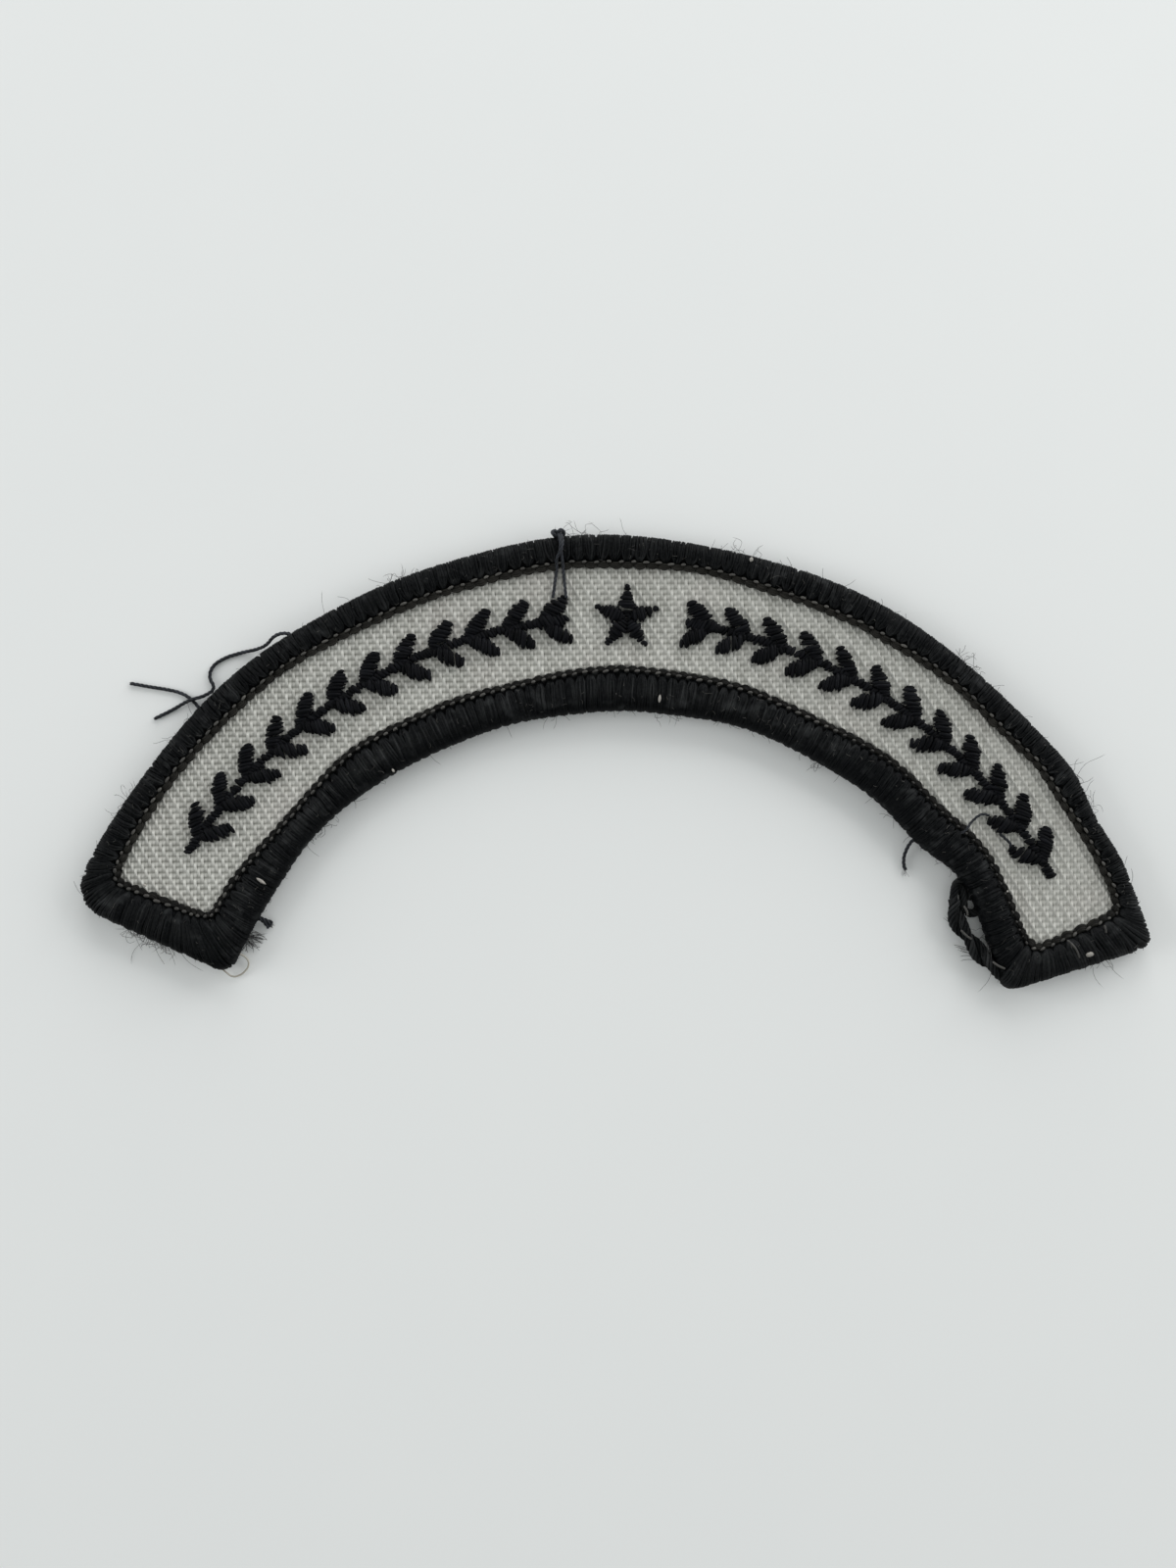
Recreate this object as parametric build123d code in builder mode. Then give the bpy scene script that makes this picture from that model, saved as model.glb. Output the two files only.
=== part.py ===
"""An embroidered arc tab patch: an arc of grey twill in a thick overlocked border, lying flat.

Millimetres and degrees, +Z up. Angles are counted from the crown, positive towards +X.
The patch is drawn about the centre of its arcs, then set down so that the middle of its
underside is at the origin.
"""

import os
from collections import namedtuple
from math import cos, degrees, radians, sin

from build123d import *

# The arc of twill that shows between the border's runs
half_span = 70.4
field_outer_radius = 52.25
field_height = 9.25

# The twill with its stiff woven base
cloth_thickness = 1.0
tuck_outer = 0.95
tuck_inner = 2.0
tuck_end = 1.6

# The overlocked border: its width along the crown side, the hollow side and the two ends
outer_run = 2.95
inner_run = 4.15
end_run = 3.85
yarn_under = 0.5
yarn_over = 0.7
corner_round = 1.0
blunt_corner_round = 3.1
window_round = 0.7
shoulder_round = 0.95
hem_round = 0.4
lip_round = 0.4

# The clearances between the cloth and the border that wraps it
face_gap = 0.05
edge_gap = 0.3

# The twisted end of the border yarn at the lower right corner
tail_diameter = 1.7
tail_gap = 0.15
tail_bend = 3.4

# The raised satin stitching on the twill
motif_height = 0.5
stitch_taper = 20
star_points = 5
star_radius = 3.3
star_waist = 1.45
leaf_length = 3.6
leaf_width = 1.7
leaf_lean = 38
leaf_pairs = 12
stem_width = 0.8
star_clearance = 1.3
end_clearance = 5.0

# How the border's yarn swells and shrinks from the left end to the right end. place is a share
# of the half span. outer and inner are the widths of the crown side's and the hollow side's run,
# and outer_lap and inner_lap are how far each run laps over the twill or draws back from it, all
# as shares of that run's own width.
Run = namedtuple("Run", "place outer inner outer_lap inner_lap")
BORDER = [
    Run(*shares)
    for shares in [
        # (place, outer, inner, outer_lap, inner_lap)
        (-1.00, 1.05, 0.93, -0.06, 0.00),
        (-0.91, 1.10, 0.98, -0.06, -0.01),
        (-0.80, 1.03, 0.98, -0.10, -0.12),
        (-0.68, 1.09, 0.90, -0.09, -0.07),
        (-0.57, 1.11, 0.93, -0.12, 0.05),
        (-0.45, 1.02, 0.98, 0.03, -0.02),
        (-0.34, 1.01, 1.02, 0.03, -0.04),
        (-0.23, 1.01, 1.00, 0.02, -0.08),
        (-0.11, 1.12, 1.02, -0.07, -0.01),
        (0.00, 1.10, 0.98, -0.02, 0.05),
        (0.11, 0.99, 0.97, -0.06, 0.02),
        (0.23, 0.98, 0.89, 0.05, 0.05),
        (0.34, 1.01, 0.90, 0.05, 0.00),
        (0.45, 0.94, 0.89, 0.04, 0.04),
        (0.57, 0.84, 0.86, 0.04, 0.13),
        (0.68, 0.88, 0.87, 0.11, 0.08),
        (0.74, 0.88, 0.67, 0.02, 0.18),
        (0.80, 0.66, 0.63, 0.10, 0.24),
        (0.87, 0.72, 0.76, 0.11, 0.16),
        (0.93, 0.62, 0.84, 0.12, 0.08),
        (1.00, 0.62, 0.90, 0.10, 0.03),
    ]
]

# How the two ends slant, as shares of end_run: how far the border reaches past the half span at
# its crown and hollow edges, and how far short of it the twill's window stops on either side.
End = namedtuple("End", "crown_reach hollow_reach crown_stop hollow_stop")
LEFT_END = End(-0.11, 0.12, 0.99, 1.19)
RIGHT_END = End(0.05, 0.03, 0.97, 0.86)

# The way of the twisted yarn end from the corner up the hollow side. place is a share of the
# half span, and stand_off is how far it stands off the border's flank, in its own diameters,
# beyond the least gap.
TAIL = [
    # (place, stand_off)
    (0.950, 0.00),
    (0.905, 0.06),
    (0.857, 0.42),
    (0.805, 0.64),
    (0.768, 0.20),
]

field_inner_radius = field_outer_radius - field_height
middle_radius = field_outer_radius - field_height / 2
cloth_outer_radius = field_outer_radius + tuck_outer
cloth_inner_radius = field_inner_radius - tuck_inner
cloth_bottom = yarn_under + face_gap
cloth_top = cloth_bottom + cloth_thickness
groove_height = cloth_thickness + 2 * face_gap
border_height = yarn_under + groove_height + yarn_over


def turn_of(length, radius):
    """The angle that a length along an arc of this radius takes."""
    return degrees(length / radius)


def on_arc(radius, angle):
    return (radius * sin(radians(angle)), radius * cos(radians(angle)))


field_half_span = half_span - turn_of(end_run, middle_radius)
cloth_half_span = field_half_span + turn_of(tuck_end, middle_radius)
groove_half_span = cloth_half_span + turn_of(edge_gap, cloth_inner_radius)


def edge_points(base_radius, width, column, left_reach, right_reach):
    """Points along one edge of the border, the table's shares of width away from base_radius.

    The reaches are how far the edge runs past the half span, as shares of end_run.
    """
    points = []
    for row in BORDER:
        reach = left_reach if row.place < 0 else right_reach
        angle = row.place * (half_span + turn_of(end_run * reach, middle_radius))
        points.append(on_arc(base_radius + width * getattr(row, column), angle))
    return points


def share_at(place, column):
    """One column of the border's table, read between its rows."""
    for low, high in zip(BORDER, BORDER[1:]):
        if low.place <= place <= high.place:
            along = (place - low.place) / (high.place - low.place)
            start = getattr(low, column)
            return start + along * (getattr(high, column) - start)
    return getattr(BORDER[-1], column)


def band(outer_radius, inner_radius, first_angle, last_angle):
    """The flat shape between two radii and two angles, cut square to the arc at both ends."""
    angles = (first_angle, (first_angle + last_angle) / 2, last_angle)
    with BuildSketch(mode=Mode.PRIVATE) as shape:
        with BuildLine():
            crown = ThreePointArc(*[on_arc(outer_radius, angle) for angle in angles])
            hollow = ThreePointArc(*[on_arc(inner_radius, angle) for angle in angles])
            Line(crown @ 0, hollow @ 0)
            Line(crown @ 1, hollow @ 1)
        make_face()
    return shape.sketch


# The twill, hidden at its edge in the border's groove
with BuildPart() as twill_ground:
    with BuildSketch(Plane.XY.offset(cloth_bottom)):
        add(band(cloth_outer_radius, cloth_inner_radius, -cloth_half_span, cloth_half_span))
    extrude(amount=cloth_thickness)

# The border, a closed ring of yarn with a rounded back, open to the twill on both faces
with BuildPart() as merrowed_border:
    with BuildSketch():
        with BuildLine():
            crown_reaches = LEFT_END.crown_reach, RIGHT_END.crown_reach
            hollow_reaches = LEFT_END.hollow_reach, RIGHT_END.hollow_reach
            crown_edge = Spline(
                *edge_points(field_outer_radius, outer_run, "outer", *crown_reaches)
            )
            hollow_edge = Spline(
                *edge_points(field_inner_radius, -inner_run, "inner", *hollow_reaches)
            )
            Line(crown_edge @ 0, hollow_edge @ 0)
            Line(crown_edge @ 1, hollow_edge @ 1)
        make_face()
    extrude(amount=border_height)
    end_corners = merrowed_border.edges().filter_by(Axis.Z).sort_by(Axis.X)
    fillet(end_corners[1:], corner_round)
    fillet(end_corners[0], blunt_corner_round)
    fillet(merrowed_border.faces().sort_by(Axis.Z)[-1].edges(), shoulder_round)
    fillet(merrowed_border.faces().sort_by(Axis.Z)[0].edges(), hem_round)

    flanks = merrowed_border.edges().filter_by(Axis.Z)
    with BuildSketch():
        with BuildLine():
            crown_stops = -LEFT_END.crown_stop, -RIGHT_END.crown_stop
            hollow_stops = -LEFT_END.hollow_stop, -RIGHT_END.hollow_stop
            crown_lip = Spline(
                *edge_points(field_outer_radius, -outer_run, "outer_lap", *crown_stops)
            )
            hollow_lip = Spline(
                *edge_points(field_inner_radius, inner_run, "inner_lap", *hollow_stops)
            )
            Line(crown_lip @ 0, hollow_lip @ 0)
            Line(crown_lip @ 1, hollow_lip @ 1)
        make_face()
    extrude(amount=border_height, mode=Mode.SUBTRACT)
    window_corners = merrowed_border.edges().filter_by(Axis.Z) - flanks
    fillet(window_corners, window_round)
    fillet(merrowed_border.faces().sort_by(Axis.Z)[-1].inner_wires().edges(), lip_round)

    with BuildSketch(Plane.XY.offset(yarn_under)):
        add(
            band(
                cloth_outer_radius + edge_gap,
                cloth_inner_radius - edge_gap,
                -groove_half_span,
                groove_half_span,
            )
        )
    extrude(amount=groove_height, mode=Mode.SUBTRACT)


def tail_point(place, stand_off):
    flank = field_inner_radius - inner_run * share_at(place, "inner")
    away = tail_diameter * (0.5 + stand_off) + tail_gap
    return on_arc(flank - away, half_span * place)


# The twisted yarn end, a short loop beside the hollow side's run
tail_route = [tail_point(place, stand_off) for place, stand_off in TAIL]
with BuildPart() as edge_tail:
    with BuildLine(Plane.XY.offset(tail_diameter / 2)) as tail_line:
        FilletPolyline(*tail_route, radius=tail_bend)
    with BuildSketch(Plane(tail_line.line @ 0, z_dir=tail_line.line % 0)):
        Circle(tail_diameter / 2)
    sweep(path=tail_line.line)

# The star of satin stitches at the crown
with BuildPart() as star_motif:
    with BuildSketch(Plane.XY.offset(cloth_top)):
        with Locations((0, middle_radius)):
            corners = [
                on_arc(star_waist if step % 2 else star_radius, -180 * step / star_points)
                for step in range(2 * star_points)
            ]
            Polygon(*corners, align=None)
    extrude(amount=motif_height, taper=stitch_taper)

# One satin-stitched leaf, its stalk end at the origin and its tip along +X
with BuildPart() as leaf:
    with BuildSketch(Plane.XY.offset(cloth_top)):
        with BuildLine():
            ThreePointArc((0, 0), (leaf_length / 2, -leaf_width / 2), (leaf_length, 0))
            ThreePointArc((leaf_length, 0), (leaf_length / 2, leaf_width / 2), (0, 0))
        make_face()
    extrude(amount=motif_height, taper=stitch_taper)

branch_end = turn_of(star_radius + star_clearance + leaf_length, middle_radius)
stem_start = field_half_span - turn_of(end_clearance, middle_radius)
first_leaf = stem_start - turn_of(leaf_length / 2, middle_radius)
leaf_step = (first_leaf - branch_end) / (leaf_pairs - 1)
tip_leaf = branch_end + turn_of(leaf_width / 2, middle_radius)


def leaf_place(angle, lean):
    """Where a leaf joins the right-hand stem, leaning from the way to the crown."""
    x, y = on_arc(middle_radius, angle)
    return Location((x, y, 0), (0, 0, 180 - angle + lean))


# A laurel branch climbs from near each end to the star, its leaves in pairs
with BuildPart() as laurel_right:
    with BuildSketch(Plane.XY.offset(cloth_top)):
        stem_outer = middle_radius + stem_width / 2
        stem_inner = middle_radius - stem_width / 2
        add(band(stem_outer, stem_inner, branch_end, stem_start))
    extrude(amount=motif_height)
    for pair in range(leaf_pairs):
        angle = branch_end + pair * leaf_step
        with Locations(leaf_place(angle, leaf_lean), leaf_place(angle, -leaf_lean)):
            add(leaf.part)
    with Locations(leaf_place(tip_leaf, 0)):
        add(leaf.part)

with BuildPart() as laurel_left:
    add(laurel_right.part)
    mirror(about=Plane.YZ, mode=Mode.REPLACE)

# The patch is set down with the middle of its underside at the origin.
PIECES = {
    "twill_ground": twill_ground,
    "merrowed_border": merrowed_border,
    "edge_tail": edge_tail,
    "star_motif": star_motif,
    "laurel_left": laurel_left,
    "laurel_right": laurel_right,
}
whole = Compound([piece.part for piece in PIECES.values()]).bounding_box()
set_down = Location((-whole.center().X, -whole.center().Y, -whole.min.Z))

os.makedirs("parts", exist_ok=True)
for name, piece in PIECES.items():
    piece.part = piece.part.moved(set_down)
    piece.part.label = name
    export_step(piece.part, f"parts/{name}.step")
print("the arcs' centre:", set_down.position)
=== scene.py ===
# %% [markdown]
# An embroidered arc tab patch, dressed over its solid model. The solids give the outline, the
# thickness and the place of everything. This script adds what a loom, an embroidery machine and
# an overlocker add: woven yarns, satin stitches, a wrapped border, loose threads and fuzz.

# %% Load the frame
from math import cos, pi, radians, sin

import bmesh
import bpy
import numpy as np
from mathutils import Matrix, Vector, noise
from mathutils.bvhtree import BVHTree


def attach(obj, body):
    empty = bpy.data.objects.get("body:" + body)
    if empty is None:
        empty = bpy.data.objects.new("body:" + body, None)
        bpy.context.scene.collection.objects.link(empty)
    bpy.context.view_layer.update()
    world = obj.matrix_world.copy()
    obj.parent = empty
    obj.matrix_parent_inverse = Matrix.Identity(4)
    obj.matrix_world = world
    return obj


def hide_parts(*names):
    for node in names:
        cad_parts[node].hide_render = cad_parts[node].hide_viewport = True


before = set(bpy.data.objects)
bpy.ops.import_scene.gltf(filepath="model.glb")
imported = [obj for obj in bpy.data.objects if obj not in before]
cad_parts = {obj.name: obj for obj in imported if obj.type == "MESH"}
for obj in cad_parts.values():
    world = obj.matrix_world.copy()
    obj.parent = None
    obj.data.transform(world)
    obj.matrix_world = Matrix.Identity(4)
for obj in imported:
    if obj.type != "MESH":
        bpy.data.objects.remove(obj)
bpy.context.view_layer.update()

mm = 0.001

# %% [markdown]
# The patch lies on a table and is seen from straight above, a little turned. A distant camera
# would show no perspective. One held close gives the mild perspective of a hand-held picture,
# so the distance is chosen first and the lens follows from it.

# %% The camera
picture_turn = radians(1.6)
picture_height = 149.8 * mm
picture_middle = (-2.95 * mm, -2.56 * mm)
camera_distance = 130 * mm
yarn_level = 1.1 * mm

lens = bpy.data.cameras.new("camera")
lens.lens = lens.sensor_width * camera_distance / picture_height
lens.clip_start = 5 * mm
camera = bpy.data.objects.new("camera", lens)
camera.location = (*picture_middle, yarn_level + camera_distance)
camera.rotation_euler = (0, 0, picture_turn)
bpy.context.scene.collection.objects.link(camera)
bpy.context.scene.camera = camera
bpy.context.scene.view_settings.view_transform = "Standard"
print("the lens:", round(lens.lens, 1), "mm")

# %% [markdown]
# A material is a small network of nodes. It could be wired one node at a time, but its sums
# are easier to read as sums. So one class wraps a socket, and each of Python's signs adds one
# Math node.


# %% A socket that can be added up
class Signal:
    """A socket of a material, with Python's signs for the Math nodes."""

    def __init__(self, finish, socket):
        self.finish = finish
        self.socket = socket

    def maths(self, operation, first, second):
        return self.finish.node("Math", {"operation": operation}, {0: first, 1: second})

    def __add__(self, other):
        return self.maths("ADD", self, other)

    def __sub__(self, other):
        return self.maths("SUBTRACT", self, other)

    def __rsub__(self, other):
        return self.maths("SUBTRACT", other, self)

    def __mul__(self, other):
        return self.maths("MULTIPLY", self, other)

    __radd__ = __add__
    __rmul__ = __mul__


print("a signal can be added, taken away and multiplied")

# %% [markdown]
# The material itself is a second class. One method adds any node, from its type, its settings
# and the values or links of its sockets. The rest are short names for what cloth and yarn ask
# for again and again: an attribute of the mesh, soft noise, a blend and the last links.


# %% A material being written
class Finish:
    """A material being written. Its node method adds any node to it."""

    def __init__(self, name, **constants):
        self.material = bpy.data.materials.new(name)
        self.material.use_nodes = True
        self.tree = self.material.node_tree
        self.surface = self.tree.nodes["Principled BSDF"]
        for socket, value in constants.items():
            self.surface.inputs[socket.replace("_", " ")].default_value = value

    def plug(self, socket, value):
        if isinstance(value, Signal):
            self.tree.links.new(value.socket, socket)
        else:
            socket.default_value = value

    def node(self, kind, settings=None, values=None, output=0):
        made = self.tree.nodes.new("ShaderNode" + kind)
        for setting, value in (settings or {}).items():
            if setting == "stops":
                for _ in value[2:]:
                    made.color_ramp.elements.new(0.5)
                for stop, (place, colour) in zip(made.color_ramp.elements, value):
                    stop.position = place
                    stop.color = (*colour, 1)
            else:
                setattr(made, setting, value)
        for socket, value in (values or {}).items():
            self.plug(made.inputs[socket], value)
        return Signal(self, made.outputs[output])

    def attribute(self, name):
        return self.node("Attribute", {"attribute_name": name}, output="Fac")

    def cloud(self, scale, detail=2.0, stretch=(1, 1, 1)):
        """Soft noise on the piece's own coordinates, scale lumps to the metre."""
        place = self.node("TexCoord", output="Object")
        place = self.node("Mapping", {}, {"Vector": place, "Scale": stretch})
        return self.node("TexNoise", {}, {"Vector": place, "Scale": scale, "Detail": detail})

    def blend(self, share, first, second):
        """A colour between two others, by a share from 0 to 1."""
        settings = {"data_type": "RGBA", "clamp_factor": True}
        colours = {6: self.colour(first), 7: self.colour(second)}
        return self.node("Mix", settings, {0: share, **colours}, output=2)

    def colour(self, value):
        return value if isinstance(value, Signal) else (*value, 1)

    def finish_with(self, height=None, depth=0.0, **links):
        """Feeds the shader, and turns a height in metres into a bump."""
        if height is not None:
            bump = {"Height": height, "Distance": depth, "Strength": 1.0}
            links["Normal"] = self.node("Bump", {}, bump)
        for socket, value in links.items():
            self.plug(self.surface.inputs[socket.replace("_", " ")], value)
        return self.material


print("a finish writes one material, node by node")

# %% [markdown]
# Real twill shows each yarn: bright where a warp yarn rides over, greyer where a weft yarn
# crosses, dark in the gaps. Much of this is light and shade, and here it is painted: a painted
# highlight on the raised floats, painted shade on the sunken weft, in the gaps and on the
# yarns' flanks. A pattern painted on a flat sheet would be quicker, but it would slide off the
# yarns. The woven mesh stores this lightness in attributes instead, so the colours stay on their
# yarns from every side, and fine noise only adds the fibres. The contrast fades towards the
# right, as it does in the picture's light.

# %% Twill colours
twill = Finish(
    "grey_twill",
    Roughness=0.82,
    Specular_IOR_Level=0.25,
    Sheen_Weight=0.12,
    Sheen_Roughness=0.5,
)
yarn_colours = [
    (0.0, (0.19, 0.19, 0.17)),
    (0.3, (0.34, 0.34, 0.31)),
    (0.62, (0.50, 0.50, 0.465)),
    (1.0, (0.66, 0.66, 0.62)),
]
faded_pink = (0.50, 0.42, 0.41)
fibre_grey = (0.30, 0.30, 0.275)
mean_lift = 0.56

metres_right = twill.node("SeparateXYZ", {}, {0: twill.node("TexCoord", output="Object")}, "X")
contrast = 0.74 - metres_right * 5.8
# The woven attribute holds a painted highlight on the floats and painted shade in the gaps.
lift = mean_lift + (twill.attribute("lift") - mean_lift) * contrast
tint = (twill.attribute("shade") - 0.5) * 0.3
twill_colour = twill.node("ValToRGB", {"stops": yarn_colours}, {0: lift + tint})
blush = twill.cloud(150) * 2.6 - 1.25
twill_colour = twill.blend(blush * 0.22, twill_colour, faded_pink)
twill_fibres = twill.cloud(9000, 2.0, (1, 0.3, 1))
twill_colour = twill.blend(twill_fibres * 0.3, twill_colour, fibre_grey)
twill_material = twill.finish_with(twill_fibres, 0.03 * mm, Base_Color=twill_colour)
print("made", twill_material.name, "with", len(twill.tree.nodes), "nodes")

# %% [markdown]
# Black yarn is never one black. Bundles of filament catch the light along their length, lie
# at slightly different angles and gather dust. One flat black would look like rubber, so each
# thread of a bundle carries its own shade, and a little dust lightens it in places.


# %% Black yarns
def black_yarn(name, dark, light, roughness, specular):
    """Black yarn from dark to light, by each thread's own shade and a little dust."""
    yarn = Finish(name, Specular_IOR_Level=specular)
    shade = yarn.attribute("shade")
    mottle = yarn.cloud(4500, 3.0) - 0.5
    colour = yarn.blend(shade + mottle * 0.7, dark, light)
    dust = yarn.cloud(700) * 4.0 - 2.3
    colour = yarn.blend(dust * 0.3, colour, [3 * part for part in light])
    fibres = yarn.cloud(14000)
    rough = roughness + (fibres - 0.5) * 0.3
    return yarn.finish_with(fibres, 0.02 * mm, Base_Color=colour, Roughness=rough)


border_material = black_yarn(
    "border_yarn_black", (0.0026, 0.0031, 0.0036), (0.028, 0.0295, 0.0300), 0.5, 0.05
)
loop_material = black_yarn(
    "border_loop_yarn", (0.0030, 0.0030, 0.0028), (0.0175, 0.0167, 0.0142), 0.55, 0.10
)
motif_material = black_yarn(
    "motif_thread_black", (0.0018, 0.0020, 0.0026), (0.0062, 0.0066, 0.0082), 0.5, 0.05
)
needle_material = black_yarn(
    "needle_thread_grey", (0.030, 0.029, 0.027), (0.084, 0.081, 0.074), 0.55, 0.3
)
loose_material = black_yarn(
    "loose_thread", (0.013, 0.015, 0.018), (0.032, 0.035, 0.042), 0.6, 0.2
)
hair_material = black_yarn("stray_fibre", (0.02, 0.02, 0.02), (0.09, 0.09, 0.09), 0.6, 0.3)
print("made", border_material.name, loop_material.name, motif_material.name)
print("made", needle_material.name, loose_material.name, hair_material.name)

# %% [markdown]
# Every mesh is shown in the same way. It gets its material, rides on the patch's one body and,
# where it takes a solid's place, hides that solid. Each piece could say this for itself, but
# one helper for all makes sure that none leaves a line out.


# %% Showing a piece
def shade_smooth(net):
    for face in net.faces:
        face.smooth = True


def take_mesh(net, mesh_name):
    """The finished mesh of a bmesh, which is let go."""
    mesh = bpy.data.meshes.new(mesh_name)
    net.to_mesh(mesh)
    net.free()
    return mesh


def keep(piece_name, mesh, material, replaced=()):
    """Shows a finished mesh as a piece of the patch."""
    piece = bpy.data.objects.new(piece_name, mesh)
    bpy.context.scene.collection.objects.link(piece)
    mesh.materials.append(material)
    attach(piece, "root")
    if replaced:
        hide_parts(*replaced)
    triangles = sum(len(face.vertices) - 2 for face in mesh.polygons)
    print("made", piece_name, "with", triangles, "triangles")
    return piece


print("the solids to dress:", ", ".join(sorted(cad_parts)))

# %% [markdown]
# Every thread here is a tube that follows a path. A curve with a bevel would do for one, but
# there are thousands. So the rings round all paths of a piece are worked out at once: at each
# station two directions at right angles to the path span a circle.


# %% Rings round a path
def unit(vectors):
    return vectors / np.linalg.norm(vectors, axis=-1, keepdims=True)


def rings_round(paths, thickness, flank, sides, swell):
    """The points of every ring, side by side: sides + 1 times all the stations."""
    along = unit(np.gradient(paths, axis=1))
    flank = np.broadcast_to(np.asarray(flank, float).reshape(-1, 1, 3), along.shape)
    out = unit(np.cross(flank, along))
    side = np.cross(along, out)
    turn = (2 * pi * np.arange(sides + 1) / sides).reshape(-1, 1, 1, 1)
    reach = 0.5 * np.asarray(thickness, float).reshape(-1, 1, 1) * swell.reshape(1, -1, 1)
    return (paths + reach * (np.cos(turn) * out + np.sin(turn) * side)).reshape(-1, 3)


upright = (0, 0, 1)
trial_path = np.linspace((0, 0, 0), (1, 0, 0), 10)[None]
trial_rings = rings_round(trial_path, 1, upright, 6, np.ones(10))
print("a trial thread has", len(trial_rings), "ring points")

# %% [markdown]
# Rolling tubes one by one would be slow as well. So one long grid is drawn, cut into strips,
# and each strip is rolled on to the rings of its own path. Its two ends shrink to a point, and
# merging what touches closes the seam and both points. Every draw of chance comes from one
# generator with a fixed seed. The noise that bends the cloth gets the same seed, because it
# would start from the clock otherwise. So the patch is the same each time.


# %% Rolling threads
def roll_threads(mesh_name, paths, thickness, flank, sides=6, swell=None, shades=None):
    """A mesh of closed threads along paths, an array of threads, stations and x, y, z.

    flank is a direction that no path runs along, one for all or one for each thread.
    """
    threads, stations = paths.shape[:2]
    if swell is None:
        swell = np.ones(stations)
        swell[[0, -1]] = 0
    if shades is None:
        shades = rng.uniform(0, 1, threads)
    rolled = rings_round(paths, thickness, flank, sides, swell)
    shades = np.broadcast_to(np.asarray(shades).reshape(threads, -1), (threads, stations))
    shade_of = np.tile(shades.ravel(), sides + 1)

    net = bmesh.new()
    columns = threads * stations - 1
    bmesh.ops.create_grid(net, x_segments=columns, y_segments=sides, size=1)
    shade_layer = net.verts.layers.float.new("shade")
    for vertex, place, shade in zip(net.verts, rolled.tolist(), shade_of.tolist()):
        vertex.co = place
        vertex[shade_layer] = shade
    net.faces.ensure_lookup_table()
    joins = [
        net.faces[row * columns + column]
        for row in range(sides)
        for column in range(stations - 1, columns, stations)
    ]
    bmesh.ops.delete(net, geom=joins, context="FACES")
    bmesh.ops.remove_doubles(net, verts=net.verts, dist=1e-8)
    shade_smooth(net)
    return take_mesh(net, mesh_name)


seed = 11
rng = np.random.default_rng(seed)
noise.seed_set(seed)
print("the draws of chance start from seed", seed)

# %% [markdown]
# The border runs right round the cloth, and its width changes from place to place. A list of
# measured points would go stale with the next change of the solid, so the solid itself is
# measured, from a guide line inside the field: two arcs round the arc's own centre, joined at
# the ends, with points evenly spaced and an outward direction at each.

# %% A guide line inside the field
arc_centre = np.array([0.271, -34.299]) * mm
guide_outer = 51.0 * mm
guide_inner = 45.0 * mm
guide_span = radians(64.3)
guide_step = 0.1 * mm
corner_softness = 14


def on_arc(radius, angle):
    angle = np.asarray(angle, float)
    return arc_centre + np.stack([radius * np.sin(angle), radius * np.cos(angle)], -1)


def walked_along(points):
    """How far each point of a line lies from its start."""
    return np.concatenate([[0], np.cumsum(np.linalg.norm(np.diff(points, axis=0), axis=1))])


def points_at(line, stops):
    """The points of a line at given distances from its start."""
    walked = walked_along(line)
    return np.stack([np.interp(stops, walked, column) for column in line.T], -1)


def soften(values, reach):
    """The running mean of a closed ring of values."""
    window = 2 * reach + 1
    padded = np.concatenate([values[-reach:], values, values[:reach]])
    total = np.cumsum(np.vstack([np.zeros((1, values.shape[1])), padded]), axis=0)
    return (total[window:] - total[:-window]) / window


guide_turns = np.linspace(-guide_span, guide_span, 400)
guide = np.vstack([on_arc(guide_outer, guide_turns), on_arc(guide_inner, guide_turns[::-1])])
guide = np.vstack([guide, guide[:1]])
guide_length = walked_along(guide)[-1]
stops = np.linspace(0, guide_length, round(guide_length / guide_step) + 1)[:-1]
guide = points_at(guide, stops)
heading = np.roll(guide, -1, axis=0) - np.roll(guide, 1, axis=0)
outward = unit(np.stack([-heading[:, 1], heading[:, 0]], -1))
outward = unit(soften(outward, corner_softness))
print("the guide line is", round(guide_length / mm), "mm round and has", len(guide), "points")

# %% [markdown]
# The solid border is then measured with rays, as with a feeler. Rays shot outwards from the
# guide line find its lip, where the cloth begins. Rays shot back from outside find its edge.
# The found points are smoothed a little, because the solid's facets would show otherwise.

# %% The border's lip and edge
solid = BVHTree.FromObject(
    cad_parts["merrowed_border"], bpy.context.evaluated_depsgraph_get()
)
lip_level = 1.75 * mm
edge_level = 0.9 * mm
feeler_reach = 15 * mm


def struck(start, direction, level):
    hit = solid.ray_cast(Vector((*start, level)), Vector((*direction, 0)))[0]
    return (hit.x, hit.y)


def steps(line):
    """The distances from each point of a closed line to the next."""
    return np.linalg.norm(np.roll(line, -1, axis=0) - line, axis=1)


lip_line = [struck(start, way, lip_level) for start, way in zip(guide, outward)]
edge_line = [
    struck(start + feeler_reach * way, -way, edge_level) for start, way in zip(guide, outward)
]
lip_line = soften(np.array(lip_line), 3)
edge_line = soften(np.array(edge_line), 1)
for line_name, line in (("lip", lip_line), ("edge", edge_line)):
    print("the", line_name, "is", round(steps(line).sum() / mm, 1), "mm round")

# %% [markdown]
# An overlocker sews stitch after stitch, closer on the hollow side and wider at the right end.
# The stitches could be spaced by angle or by length, but the two lines differ in both. So a
# step is measured partly on the lip and partly on the edge, and is divided by its run's pitch.

# %% Counting the stitches
CROWN, HOLLOW, LEFT, RIGHT = range(4)
stitch_pitch = np.array([1.20, 0.96, 1.10, 1.40]) * mm
weight_of_lip = np.array([0.5, 0.5, 0.6, 0.5])
end_zone = 0.01

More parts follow.
